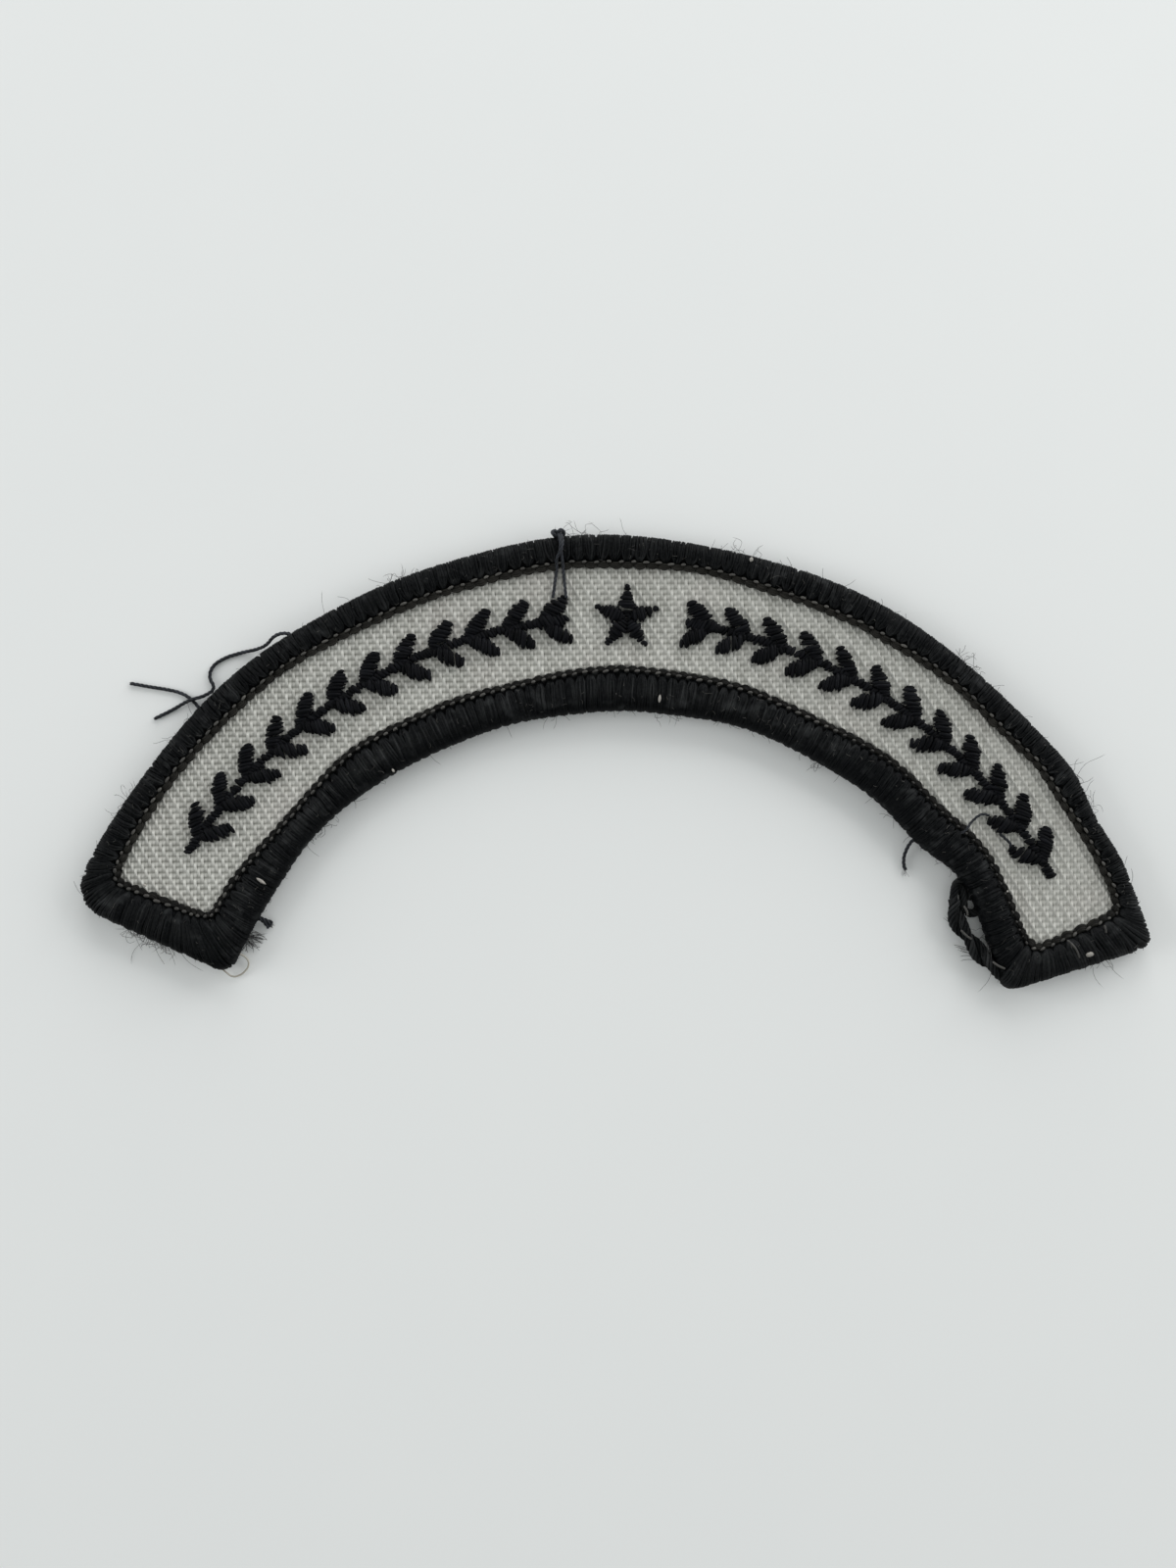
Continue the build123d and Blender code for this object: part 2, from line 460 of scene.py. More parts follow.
from_centre = guide - arc_centre
guide_angle = np.abs(np.arctan2(from_centre[:, 0], from_centre[:, 1]))
guide_middle = (guide_outer + guide_inner) / 2
run = np.where(np.linalg.norm(from_centre, axis=1) > guide_middle, CROWN, HOLLOW)
run[guide_angle > guide_span - end_zone] = LEFT
run[(run == LEFT) & (from_centre[:, 0] > 0)] = RIGHT
lip_weight = weight_of_lip[run]
walk = lip_weight * steps(lip_line) + (1 - lip_weight) * steps(edge_line)
walk = walk / stitch_pitch[run]
count = np.concatenate([[0], np.cumsum(walk)])
stitches = round(count[-1])
count *= stitches / count[-1]
print("the border has", stitches, "stitches")

# %% [markdown]
# From here on every point of the border is a stitch count, a share of the way from lip to edge
# and a height. Four values, for the crown, the hollow, the left and the right end, say how the
# stitches of each run differ, and blend into each other at the corners.

# %% Reading the border by stitch count
lip_ring = np.vstack([lip_line, lip_line[:1]])
edge_ring = np.vstack([edge_line, edge_line[:1]])


def read_ring(ring, stitch):
    return np.stack([np.interp(stitch % stitches, count, column) for column in ring.T], -1)


def by_run(stitch, values):
    """The value for the crown, the hollow, the left or the right end, wherever the stitch is."""

    def share(which):
        there = (run == which).astype(float)
        return np.interp(stitch % stitches, count, np.append(there, there[0]))

    return sum(value * share(which) for which, value in enumerate(values))


def ring_width(stitch):
    return np.linalg.norm(read_ring(edge_ring, stitch) - read_ring(lip_ring, stitch), axis=-1)


def on_ring(stitch, share, height):
    """The point a share of the way from the border's lip to its edge, at a stitch count."""
    stitch, share, height = np.broadcast_arrays(stitch, share, height)
    lip, edge = read_ring(lip_ring, stitch), read_ring(edge_ring, stitch)
    flat = lip + (edge - lip) * share[..., None]
    return np.concatenate([flat, height[..., None]], -1)


widths = ring_width(np.arange(stitches)) / mm
print("the border is", widths.min().round(2), "to", widths.max().round(2), "mm wide")

# %% [markdown]
# The border's section is a soft bead: low where it meets the twill, highest past its middle,
# and rounded over the edge down to the table. Rays could measure it as well, but two formulas
# that all stitches share keep it soft, and they follow the solid's section closely enough.

# %% The border's section
lip_height = 1.66 * mm
crest_height = 2.33 * mm
crest_run = 1.5 * mm
shoulder_run = 1.25 * mm
flank_height = 1.1 * mm
shoulder_roundness = 2.4
needle_inset = (0.62, 0.58, 0.46, 0.46)


def smooth_step(value):
    value = np.clip(value, 0, 1)
    return value * value * (3 - 2 * value)


def needle_row(stitch):
    """How far from the lip the needle goes in: nearer to it at the two ends."""
    return by_run(stitch, needle_inset) * mm


def bead_height(out, width):
    """How high the yarn stands, out metres from the lip."""
    height = lip_height + (crest_height - lip_height) * smooth_step(out / crest_run)
    fall = np.clip((out - width + shoulder_run) / shoulder_run, 0, 1)
    rounded = (1 - fall**shoulder_roundness) ** (1 / shoulder_roundness)
    return flank_height + (height - flank_height) * rounded


print("the bead is", round(bead_height(crest_run, 4 * mm) / mm, 2), "mm high at its crest")

# %% [markdown]
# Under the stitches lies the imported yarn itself: a closed ring, grooved between the stitches.
# Without it light would fall through the gaps between the filaments. Its section is a list of
# shares and heights over the top, then back underneath.

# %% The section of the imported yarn
core_sink = 0.12 * mm
groove_depth = 0.06 * mm
top_shares = np.array([0.0, 0.08, 0.2, 0.35, 0.5, 0.64, 0.76, 0.86, 0.93, 0.98])
under_section = [(1.0, 1.1), (0.995, 0.6), (0.96, 0.2), (0.88, 0.02), (0.5, 0.02), (0.0, 0.02)]
grooved = slice(1, 10)
beside_lip = slice(0, 4)
lip_drop = (0.2, 0.2, -0.08, -0.08)
lip_setback = (0.30, 0.30, 0.14, 0.14)


def core_section(stitch):
    """The closed section at one stitch count, as points round it."""
    width = ring_width(stitch)
    shares = np.concatenate([top_shares, [share for share, _ in under_section]])
    tops = bead_height(top_shares * width, width) - core_sink
    heights = np.concatenate([tops, [height * mm for _, height in under_section]])
    heights[grooved] -= groove_depth * (0.5 + 0.5 * cos(2 * pi * stitch))
    heights[beside_lip] -= by_run(stitch, lip_drop) * mm
    lip_back = by_run(stitch, lip_setback) * mm / width
    return on_ring(stitch, lip_back + shares * (1 - core_sink / width - lip_back), heights)


print("the packed yarn's section has", len(core_section(0)), "points")

# %% [markdown]
# A flat grid is then wrapped both ways, round the section and round the patch. Bridging the
# sections one by one would do as well, but a grid makes them all in one step. Its first and
# last rows and columns land on the same points, so merging doubles closes it.

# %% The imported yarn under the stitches
core_steps = 6
core_columns = stitches * core_steps
core_tint = 0.1
sections = np.array([core_section(column / core_steps) for column in range(core_columns)])
around = sections.shape[1]

net = bmesh.new()
bmesh.ops.create_grid(net, x_segments=core_columns, y_segments=around, size=1)
core_shade = net.verts.layers.float.new("shade")
for index, vertex in enumerate(net.verts):
    row, column = divmod(index, core_columns + 1)
    vertex.co = sections[column % core_columns, row % around]
    vertex[core_shade] = core_tint
bmesh.ops.remove_doubles(net, verts=net.verts, dist=1e-8)
bmesh.ops.recalc_face_normals(net, faces=net.faces)
shade_smooth(net)
core_mesh = take_mesh(net, "border_core")
keep("border_core", core_mesh, border_material, ["merrowed_border"])

# %% [markdown]
# Each overlock stitch is a flat bundle of filaments. It comes up through the needle hole
# pinched together, fans out over the bead, turns over the edge and goes back underneath. A
# bump map could fake the lines between filaments, but not the ragged outline against the
# table, so each filament is a thread of its own. These values shape the stitches, the ones
# in fours run by run.

# %% The shape of a stitch
filaments = 8
wrap_over = np.array([0, 0.06, 0.14, 0.25, 0.38, 0.52, 0.66, 0.79, 0.9, 0.97])
wrap_under = [(1.01, 1.12), (1.0, 0.6), (0.95, 0.17), (0.8, 0.1), (0.45, 0.1), (0.12, 0.11)]
pinched = 0.24
stitch_lean = (0.0, 0.0, -0.5, -0.3)
stitch_hump = (0.06, 0.07, 0.13, 0.16)
stitch_bulge = (0.3, 0.8, 0.8, 0.8)
needle_dip = (0.12, 0.26, 0.12, 0.08)
needle_pull = 0.35 * mm
bundle_sink = 0.08 * mm
filament_widths = (0.20, 0.20, 0.28, 0.32)
roll_start = 17
roll_run = 9


def rolled_over(stitch):
    """From 0 to 1 on the hollow side, where the border leans over its own lip on the right."""
    millimetres_right = read_ring(lip_ring, stitch)[..., 0] / mm
    rolled = smooth_step((millimetres_right - roll_start) / roll_run)
    return by_run(stitch, (0, 1, 0, 0)) * rolled


def uneven(spread, *shape):
    """Random departures from the rule, as many as there are filaments or stitches."""
    return rng.normal(0, spread, shape)


print("the border gets", stitches * filaments, "filaments")

# %% [markdown]
# The path of a filament is put together from three parts: where it runs along the border, how
# high it stands, and how it turns over the edge. Copies of one stitch would be quicker, but
# they would look printed. So each part gets a little chance, stitch by stitch.


# %% Paths of the wrapped stitches
def stitch_grid(first, last):
    """Each stitch's middle as a count, and each filament's place in it from -0.5 to 0.5."""
    middle = np.arange(first, last).reshape(-1, 1, 1) + 0.5
    place = (np.arange(filaments) + 0.5).reshape(1, -1, 1) / filaments - 0.5
    return middle, place


def wrap_counts(middle, place):
    """Where the filaments run along the border: fanned, leaning and wandering."""
    rows = len(middle)
    fan = pinched + (1 - pinched) * smooth_step(wrap_over / 0.3)
    lean = by_run(middle, stitch_lean) + uneven(0.15, rows, 1, 1)
    waves = np.stack([np.sin(bends * pi * wrap_over) for bends in (1, 2, 3)])
    counts = middle + place * fan + lean * (wrap_over - 0.4)
    wander = uneven(0.022, rows, filaments, 3) @ waves
    return counts + wander + uneven(0.03, rows, filaments, 1)


def wrap_heights(middle, place, height):
    """The bead's height with each stitch's own hump, sunk where the needle pulls it in."""
    rows = len(middle)
    hump = by_run(middle, stitch_hump) + uneven(0.035, rows, 1, 1) - 0.06 * rolled_over(middle)
    hump = np.clip(hump, 0.01, 0.24) * mm * np.cos(pi * place)
    height = height + hump * (0.35 + 0.65 * np.sin(pi * np.clip(wrap_over, 0, 0.9)))
    height = height - bundle_sink + uneven(0.014 * mm, rows, filaments, 1)
    height[..., 0] -= needle_pull
    height[..., 1] -= by_run(middle, needle_dip)[..., 0] * mm
    return height


def wrap_paths(first, last):
    """The paths of the filaments of the stitches from first to last, and their flanks."""
    middle, place = stitch_grid(first, last)
    rows = len(middle)
    width = ring_width(middle)
    needle = needle_row(middle) / width
    shares = needle + wrap_over * (1 - needle)
    counts = wrap_counts(middle, place)
    height = wrap_heights(middle, place, bead_height(shares * width, width))
    bulge = np.clip(0.11 + uneven(0.03, rows, 1, 1), 0.04, 0.18) * mm / width
    bulge = bulge * by_run(middle, stitch_bulge) * (np.cos(pi * place) - 0.55)
    over = on_ring(counts, shares + bulge * wrap_over**3, height)

    under_share = np.array([share for share, _ in wrap_under])
    under_height = np.array([level for _, level in wrap_under]) * mm
    home = (middle + place - counts[..., -1:]) * np.linspace(0, 1, len(wrap_under))
    under = on_ring(counts[..., -1:] + home, under_share + bulge * under_share**3, under_height)
    paths = np.concatenate([over, under], axis=2).reshape(rows * filaments, -1, 3)
    flank = read_ring(lip_ring, middle + 0.3) - read_ring(lip_ring, middle - 0.3)
    flank = np.repeat(flank.reshape(rows, 2), filaments, axis=0)
    return paths, np.hstack([flank, np.zeros((len(flank), 1))])


print("a filament has", len(wrap_over) + len(wrap_under), "stations")

# %% [markdown]
# The yarn's light and shade are painted into the shade of each filament. A painted highlight
# lies near the twill on the crown side and along the belly of the bead on the hollow side and at
# the left end. Painted shade darkens the pits by the needle row, the creases between two
# stitches and the part where the border rolls over its lip. A painted image could carry this,
# but a shade at each station of each filament stays on its own thread, however the thread runs.

# %% Shades of the wrapped stitches
mean_streak = 0.35
streak_contrast = (1.0, 1.0, 0.9, 0.45)
crease_shade_depth = (0.12, 0.24, 0.36, 0.24)
under_shade = 0.3


def wrap_shades(first, last):
    """The shade of each filament of the stitches from first to last, at each station."""
    middle, place = stitch_grid(first, last)
    rows = len(middle)
    streak = rng.beta(1.3, 2.4, (rows, filaments, 1)) + rng.uniform(-0.1, 0.1, (rows, 1, 1))
    streak = by_run(middle, streak_contrast) * (streak - mean_streak) + mean_streak
    # Painted shade in the creases between two stitches.
    deep = by_run(middle, crease_shade_depth)
    crease_painted_shade = 1.02 - deep + deep * np.cos(pi * place)
    # Painted highlight near the needle row and along the bead's belly, painted shade in the pits.
    near = np.exp(-((wrap_over / 0.2) ** 2)) * smooth_step(wrap_over / 0.08)
    belly = np.exp(-(((wrap_over - 0.42) / 0.26) ** 2)) * smooth_step(wrap_over / 0.3)
    crown_painted_highlight = 0.38 + 0.95 * near
    hollow_painted_light_and_shade = 0.05 + 0.93 * belly
    left_painted_highlight = 0.20 + 0.34 * belly
    right_even_light = np.full(wrap_over.shape, 0.7)
    painted_light_and_shade = by_run(middle, (crown_painted_highlight, hollow_painted_light_and_shade, left_painted_highlight, right_even_light))
    painted_light_and_shade = np.concatenate([painted_light_and_shade, np.full((rows, 1, len(wrap_under)), under_shade)], axis=2)
    # Painted shade where the border rolls over its lip.
    shades = streak * crease_painted_shade * painted_light_and_shade * (1 - 0.5 * rolled_over(middle))
    return np.clip(shades, 0, 1).reshape(rows * filaments, -1)


def show_stitches(piece_name, first, last):
    paths, flank = wrap_paths(first, last)
    shades = wrap_shades(first, last)
    thick = by_run(np.arange(first, last) + 0.5, filament_widths) * mm
    thickness = np.repeat(thick, filaments) * rng.uniform(0.8, 1.25, len(paths))
    mesh = roll_threads(piece_name, paths, thickness, flank, sides=5, shades=shades)
    return keep(piece_name, mesh, border_material)


third = stitches // 3
show_stitches("border_stitches_a", 0, third)
show_stitches("border_stitches_b", third, 2 * third)
show_stitches("border_stitches_c", 2 * third, stitches)

# %% [markdown]
# On the twill side the yarn turns back in a row of small loops, one to a stitch, like a
# crochet chain. One thick thread to a loop would leave a hole in its middle. So each loop is
# three threads, one inside the other. They reach furthest over the twill at the right end.

# %% The chain of loops
loop_nests = (1.0, 0.66, 0.34)
loop_swell = np.array([0, 0.8, 1, 1, 1.1, 1.15, 1.1, 1, 1, 0.8, 0])
loop_reach = (-0.04, -0.16, 0.06, 0.12)
loop_bluntness = (0.8, 1.0, 0.9, 0.85)
loop_tones = (0.8, 0.12, 0.2, 0.3)
loop_widths = (0.27, 0.27, 0.30, 0.34)
loop_level = 1.64 * mm


def chain_loops():
    """The paths of all loops, the outer one of each first."""
    middle = np.arange(stitches).reshape(-1, 1, 1) + 0.5
    nest = np.array(loop_nests).reshape(1, -1, 1)
    turn = np.linspace(0, pi, len(loop_swell))
    size = rng.uniform(0.9, 1.12, (stitches, 1, 1))
    skew = rng.normal(0.04, 0.05, (stitches, 1, 1))
    stitch = middle - (0.16 + 0.32 * nest) * np.cos(turn) + skew * np.sin(turn)
    width = ring_width(middle)
    reach = needle_row(middle) + by_run(middle, loop_reach) * mm
    blunt = by_run(middle, loop_bluntness)
    out = needle_row(middle) + 0.05 * mm - reach * size * nest * np.sin(turn) ** blunt
    height = loop_level + (0.20 * mm + 0.12 * mm * (1 - nest)) * np.sin(turn) ** 0.6
    height = height + rng.normal(0, 0.015 * mm, (stitches, len(loop_nests), 1))
    return on_ring(stitch, out / width, height).reshape(stitches * len(loop_nests), -1, 3)


def for_each_loop(values):
    """A value by run for every thread of every loop."""
    return np.repeat(by_run(np.arange(stitches) + 0.5, values), len(loop_nests))


loop_shades = for_each_loop(loop_tones)
loop_shades = np.clip(loop_shades + rng.uniform(-0.2, 0.2, len(loop_shades)), 0, 1)
loop_thickness = for_each_loop(loop_widths) * mm
loop_mesh = roll_threads(
    "border_loops", chain_loops(), loop_thickness, upright, 7, loop_swell, loop_shades
)
keep("border_loops", loop_mesh, loop_material)

# %% [markdown]
# A thinner grey thread from the overlocker's needle dips in and out beside the loops. Only its
# dashes on top can be seen, so only they are made, each one a short bow that sinks into the
# yarn at both ends. Where the border rolls over its lip, they sink out of sight and are darkened
# with painted shade.

# %% The needle thread
dash_swell = np.array([0, 0.85, 1, 1, 0.85, 0])
dash_half = (0.30, 0.32, 0.36, 0.30)
dash_slant = (0.02, 0.07, 0.06, 0.1)
dash_nearer = (0.03, 0.0, 0.0, 0.05)
dash_raised = (0.20, 0.14, 0.18, 0.16)
dash_widths = (0.27, 0.29, 0.35, 0.30)
dash_tones = (0.5, 0.35, 0.15, 0.35)


def needle_dashes():
    """The paths of the dashes, one to a stitch."""
    number = np.arange(stitches).reshape(-1, 1)
    way = np.linspace(-1, 1, len(dash_swell))
    half = by_run(number, dash_half) * rng.uniform(0.7, 1.1, (stitches, 1))
    slant = (by_run(number, dash_slant) + rng.normal(0, 0.03, (stitches, 1))) * mm
    width = ring_width(number)
    nearer = by_run(number, dash_nearer) * mm
    out = needle_row(number) - nearer + slant * way + rng.normal(0, 0.03 * mm, (stitches, 1))
    raised = (by_run(number, dash_raised) - 0.22 * rolled_over(number)) * mm
    height = bead_height(out, width) + raised - 0.10 * mm * way**2
    return on_ring(number + half * way, out / width, height)


dash_count = np.arange(stitches)
# Painted shade darkens the dashes where the border rolls over.
dash_shades = by_run(dash_count, dash_tones) - 0.35 * rolled_over(dash_count)
dash_shades = np.clip(dash_shades + rng.uniform(-0.35, 0.35, stitches), 0, 1)
dash_thickness = by_run(dash_count, dash_widths) * mm
dash_mesh = roll_threads(
    "needle_thread", needle_dashes(), dash_thickness, upright, 6, dash_swell, dash_shades
)
keep("needle_thread", dash_mesh, needle_material)

# %% [markdown]
# The twill is one flat piece of cloth. In each row every third warp yarn rides over the weft,
# and the next row down shifts by one yarn, which draws the slanting lines of a twill. Thousands
# of crossing tubes would be far too heavy, so one sheet is pressed into their relief. What it
# needs is a formula for the height and the lightness at any yarn and any pick. The lightness
# holds a painted highlight on the floats and painted shade in the dips, gaps and crossings.

# %% Woven twill
warp_pitch = 0.334 * mm
pick_pitch = 0.52 * mm
yarn_half = 0.53
float_repeat = 3
yarn_lightness = 0.58
deepest = -0.2 * mm
sway = -0.09 * mm


def yarn_dome(offset, half):
    """The round top of a yarn, offset from its middle, 1 at its crown and 0 beside it."""
    return np.sqrt(np.clip(1 - (offset / half) ** 2, 0, 1))


def weave(warp, pick):
    """Height, lightness with painted shade, share of float and sideways sway at a count of warp
    yarns and picks.
    """
    yarn = np.floor(warp + 0.5)
    past_float = (pick + yarn + float_repeat / 2) % float_repeat - float_repeat / 2
    from_float = np.abs(past_float)
    falling = np.cos(pi * np.minimum(from_float, 1))
    rising = np.where(from_float > 1, 0.9 * np.sin(pi * (from_float - 1)), 0)
    dome = yarn_dome(warp - yarn, yarn_half)
    height = (0.06 * (falling + rising) + 0.14 * dome - 0.16) * mm

    # Painted shade: darker in the dips, at the crossings and on each yarn's flanks. The floats get
    # a painted highlight.
    dip = np.exp(-(((from_float - 1) / 0.23) ** 2))
    float_share = smooth_step((0.80 - from_float) / 0.34)
    crossing = np.exp(-((past_float / 0.16) ** 2))
    between = smooth_step((from_float - 1.1) / 0.2)
    lightness = yarn_lightness + 0.32 * float_share - 0.50 * dip * (0.35 + 0.65 * dome)
    lightness = lightness + 0.15 * between - 0.20 * crossing - 0.30 * (1 - dome)
    aside = sway * np.sin(pi * past_float / (float_repeat / 2)) * dome
    return np.maximum(height, deepest), np.clip(lightness, 0, 1), float_share, aside


print("in 10 mm:", round(10 * mm / warp_pitch), "yarns and", round(10 * mm / pick_pitch), "picks")

# %% [markdown]
# The cloth starts as one grid, larger than the field, with whole cells to each yarn and each
# pick, so that no yarn falls between two columns. More cells would round the yarns better, but
# the camera wouldn't see it. The weave is turned as the real one lies.

# %% The twill's grid
half_wide = 51.0 * mm
half_deep = 21.0 * mm
warp_cells = 4
pick_cells = 3
warp_columns = 2 * round(half_wide / warp_pitch) * warp_cells
pick_rows = 2 * round(half_deep / pick_pitch) * pick_cells
cell_size = np.array([warp_pitch / warp_cells, pick_pitch / pick_cells])

net = bmesh.new()
bmesh.ops.create_grid(net, x_segments=warp_columns, y_segments=pick_rows, size=1)
places = np.array([vertex.co[:2] for vertex in net.verts])
places = np.round((places + 1) / 2 * (warp_columns, pick_rows))
places = places - np.array([warp_columns / 2, pick_rows / 2])
warp, pick = places[:, 0] / warp_cells, places[:, 1] / pick_cells
height, lightness, float_share, aside = weave(warp, pick)
turned = np.array(Matrix.Rotation(picture_turn, 3, "Z"))[:2, :2]
flat = places * cell_size @ turned.T
print("the grid has", len(flat), "points")

# %% [markdown]
# The cloth ends under the border. A cut along the lip itself would show a gap wherever the
# border sways, so the cut runs a little way under it. How deep a point lies inside the field
# is measured from the lip of each run, read by angle on the long sides and by radius at the
# ends.

# %% How deep a point lies in the field
inside_edge = 0.62 * mm
middle_radius = 47.625 * mm


def polar(points):
    """The angle from the crown and the distance from the arc's centre."""
    seen = points - arc_centre
    return np.arctan2(seen[:, 0], seen[:, 1]), np.linalg.norm(seen, axis=1)


def lip_of(which, along, away, place):
    """How far away the lip of one run lies, at a place along it."""
    order = np.argsort(along[run == which])
    return np.interp(place, along[run == which][order], away[run == which][order])


lip_turn, lip_far = polar(lip_line)
seen_turn, seen_far = polar(flat)
crown_lip = lip_of(CROWN, lip_turn, lip_far, seen_turn)
hollow_lip = lip_of(HOLLOW, lip_turn, lip_far, seen_turn)
left_lip = lip_of(LEFT, lip_far, lip_turn, seen_far)
right_lip = lip_of(RIGHT, lip_far, lip_turn, seen_far)
side_depth = np.minimum(crown_lip - seen_far, seen_far - hollow_lip)
end_depth = np.minimum(right_lip - seen_turn, seen_turn - left_lip) * middle_radius
depth = np.minimum(side_depth, end_depth) + inside_edge
inside = depth > 0
print("inside the field:", inside.sum(), "points")

# %% [markdown]
# The grid is now pressed into the weave. Every float is a little lighter or darker and higher
# or lower than the next, by a fixed scramble of its number instead of a draw. Under the border
# the cloth sinks, so that no yarn pricks through the loops. What lies outside is deleted.

# %% Pressing the weave
twill_top = 1.55 * mm
lip_sink = 0.4 * mm

yarn_number = np.floor(warp + 0.5)
float_number = np.floor((pick + yarn_number + float_repeat / 2) / float_repeat)
scramble = np.sin(yarn_number * 12.9898 + float_number * 78.233) * 43758.5453
yarn_shade = scramble - np.floor(scramble)
flat = flat + np.outer(np.where(depth > 0.3 * mm, aside, 0), turned[:, 0])
levels = twill_top + height + 0.03 * mm * (yarn_shade - 0.5) * float_share
levels = levels - lip_sink * smooth_step((0.5 * mm - depth) / (0.3 * mm))

lift_layer = net.verts.layers.float.new("lift")
shade_layer = net.verts.layers.float.new("shade")
for vertex, (x, y), z, raised, shade in zip(
    net.verts, flat.tolist(), levels.tolist(), lightness.tolist(), yarn_shade.tolist()
):
    vertex.co = (x, y, z)
    vertex[lift_layer] = raised
    vertex[shade_layer] = shade
outside = [vertex for vertex, kept in zip(net.verts, inside) if not kept]
bmesh.ops.delete(net, geom=outside, context="VERTS")
for vertex in net.verts:
    wobble = noise.noise_vector(vertex.co * 450) * 0.05 * mm
    vertex.co.x += wobble.x
    vertex.co.y += wobble.y
print("the cloth keeps", len(net.verts), "points")

# %% [markdown]
# A sheet with one side has no thickness and no underside. The rim is pulled down into a wall
# and the hole below is filled with one face. The areas above and below are then printed.

# %% Closing the cloth
twill_bottom = 0.55 * mm

shade_smooth(net)
rim = [edge for edge in net.edges if edge.is_boundary]
wall = bmesh.ops.extrude_edge_only(net, edges=rim)["geom"]
for vertex in wall:
    if isinstance(vertex, bmesh.types.BMVert):
        vertex.co.z = twill_bottom
hem = [edge for edge in net.edges if edge.is_boundary]
bottom = bmesh.ops.holes_fill(net, edges=hem, sides=0)["faces"]
for face in net.faces:
    if face.normal.z < 0.1:
        face.smooth = False
bmesh.ops.recalc_face_normals(net, faces=net.faces)
top_area = sum(face.calc_area() for face in net.faces if face.normal.z > 0.1)
under_area = sum(face.calc_area() for face in bottom)
print("twill:", round(top_area / mm**2), "mm2 above and", round(under_area / mm**2), "below")
twill_mesh = take_mesh(net, "twill_cloth")
twill_cloth = keep("twill_cloth", twill_mesh, twill_material, ["twill_ground"])

# %% [markdown]
# The motif is satin stitch: each stitch is one thread laid over the full width of a leaf or
# a stem, close beside the last. The middle is highest, and the ends are never quite even. The
# solid leaf could be kept with lines pressed into it, but its outline would stay too clean.

# %% Satin stitches
satin_thickness = 0.40 * mm
satin_pitch = 0.31 * mm
satin_rise = 0.55 * mm
satin_swell = np.array([0, 0.8, 1, 1, 1, 1, 1, 0.8, 0])
full_half = 0.85 * mm
overshoot = 0.05 * mm
end_spread = 0.06 * mm
side_spread = 0.05 * mm


def satin(middles, ways, halves):
    """Stitches across middles, an array of points, along ways, halves long to each side."""
    number = len(middles)
    reach = np.linspace(-1, 1, len(satin_swell))
    half = halves.reshape(-1, 1) * rng.normal(1, 0.05, (number, 1))
    half = half + rng.normal(overshoot, end_spread, (number, 1)).clip(-overshoot)
    span = half * reach + rng.normal(0, side_spread, (number, 1))
    along = np.stack([ways[:, 1], -ways[:, 0]], -1)
    shift = rng.normal(0, side_spread, (number, 1))
    shift = shift + rng.normal(0, end_spread, (number, 1)) * reach
    flat = middles[:, None, :] + ways[:, None, :] * span[..., None]
    flat = flat + along[:, None, :] * shift[..., None]
    crown = satin_rise * np.clip(halves.reshape(-1, 1) / full_half, 0.55, 1.0)
    dome = (1 - np.abs(reach) ** 2.6) ** 0.6
    height = twill_top - 0.04 * mm + crown * dome + rng.normal(0, 0.035 * mm, (number, 1))
    height[:, [0, -1]] -= 0.15 * mm
    return np.concatenate([flat, height[..., None]], -1)


def joined(parts):
    """Middles, ways and halves of many parts, each as one array."""
    return (np.concatenate(column) for column in zip(*parts))


print("satin stitches lie", satin_pitch / mm, "mm apart and rise", satin_rise / mm, "mm")

# %% [markdown]
# A laurel branch is one stem with leaves in pairs and a last leaf at its tip. A leaf is a row
# of slanted stitches whose widths swell and shrink. Both branches use the same rule. The left
# one is mirrored, but its stitches are drawn anew, so no two leaves are alike.

# %% Leaves and branches
leaf_length = 3.6 * mm
leaf_width = 1.7 * mm
leaf_lean = radians(38)
leaf_start = 0.15 * mm
leaf_stop = leaf_length - 0.22 * mm
satin_slant = radians(20)
leaf_pairs = 12
branch_end = radians(9.87)
tip_leaf = radians(10.9)
first_leaf = radians(57.6)
stem_start = radians(59.75)
stem_width = 0.8 * mm
stem_slant = 0.3


def leaf_stitches(root, way):
    """One leaf from its root point along a unit way, as its stitches' middles, ways and halves."""
    along = np.arange(leaf_start, leaf_stop, satin_pitch)
    beside = np.array([-way[1], way[0]])
    slanted = beside * cos(satin_slant) + way * sin(satin_slant)
    middles = root + along[:, None] * way
    halves = leaf_width / 2 * (1 - (2 * along / leaf_length - 1) ** 2) ** 0.8
    return middles, np.tile(slanted, (len(along), 1)), halves


def turned_way(angle, lean):
    """The way along the arc towards the crown, leaning by an angle, for a right-hand branch."""
    bearing = pi - angle + lean
    return np.array([cos(bearing), sin(bearing)])


def branch(side):
    """All stitches of a laurel branch, side 1 for the right-hand one and -1 for the left."""
    parts = []
    for angle in np.linspace(branch_end, first_leaf, leaf_pairs):
        for lean in (leaf_lean, -leaf_lean):
            parts.append(leaf_stitches(on_arc(middle_radius, angle), turned_way(angle, lean)))
    parts.append(leaf_stitches(on_arc(middle_radius, tip_leaf), turned_way(tip_leaf, 0)))
    stem = np.arange(branch_end, stem_start, satin_pitch / middle_radius)
    across_stem = np.stack([np.sin(stem + stem_slant), np.cos(stem + stem_slant)], -1)
    parts.append((on_arc(middle_radius, stem), across_stem, np.full(len(stem), stem_width / 2)))
    paths = satin(*joined(parts))
    if side < 0:
        paths[..., 0] = 2 * arc_centre[0] - paths[..., 0]
    return paths


branches = [
    ("laurel_right_satin", "laurel_right", 1),
    ("laurel_left_satin", "laurel_left", -1),
]
for piece_name, node, side in branches:
    mesh = roll_threads(piece_name, branch(side), satin_thickness, upright, swell=satin_swell)
    keep(piece_name, mesh, motif_material, [node])

